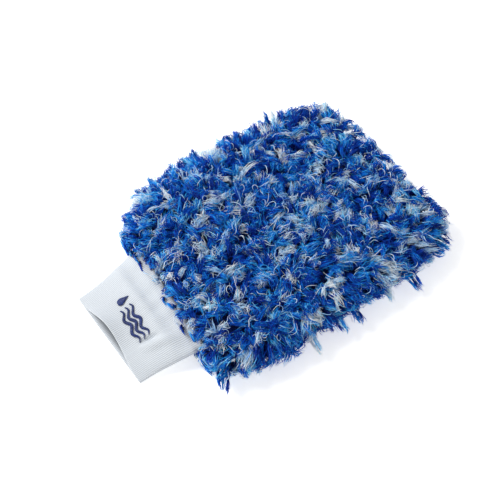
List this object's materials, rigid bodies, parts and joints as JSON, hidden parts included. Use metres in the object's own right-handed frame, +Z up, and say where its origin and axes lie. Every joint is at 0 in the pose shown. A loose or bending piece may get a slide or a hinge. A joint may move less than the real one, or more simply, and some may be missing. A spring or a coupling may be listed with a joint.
{
  "type": "wash mitt",
  "caption": "Plush hand mitt for washing: a deep-pile bag with a lining and a folded rib-knit wrist cuff that bends at its seam.",
  "frame": {"origin": "centre of the bounding box's footprint, on the surface the mitt lies on", "axes": "+X towards the finger tip with the cuff at -X, +Y across the mitt, +Z up from the surface"},
  "size_m": [0.295, 0.196, 0.046],
  "materials": {
    "pile": "long blue microfibre pile with white locks, matt with a silky sheen",
    "lining": "smooth white polyester knit",
    "rib_knit": "white rib knit, matt",
    "seam_thread": "white overlock thread",
    "mark_thread": "navy satin stitch, slightly glossy"
  },
  "bodies": {
    "mitt": {"top_pile_panel": "pile", "bottom_pile_panel": "pile", "top_lining": "lining", "bottom_lining": "lining", "perimeter_seam": "seam_thread", "cuff_join_seam": "seam_thread"},
    "cuff": {"rib_cuff": "rib_knit", "cuff_side_seam": "seam_thread", "stitched_wave_upper": "mark_thread", "stitched_wave_middle": "mark_thread", "stitched_wave_lower": "mark_thread", "stitched_drop": "mark_thread"}
  },
  "joints": [
    {"name": "wrist_bend", "type": "hinge", "parent": "mitt", "child": "cuff", "pos_m": [-0.0925, 0, 0.019], "axis": [0, 1, 0], "range_deg": [-40, 50]}
  ]
}
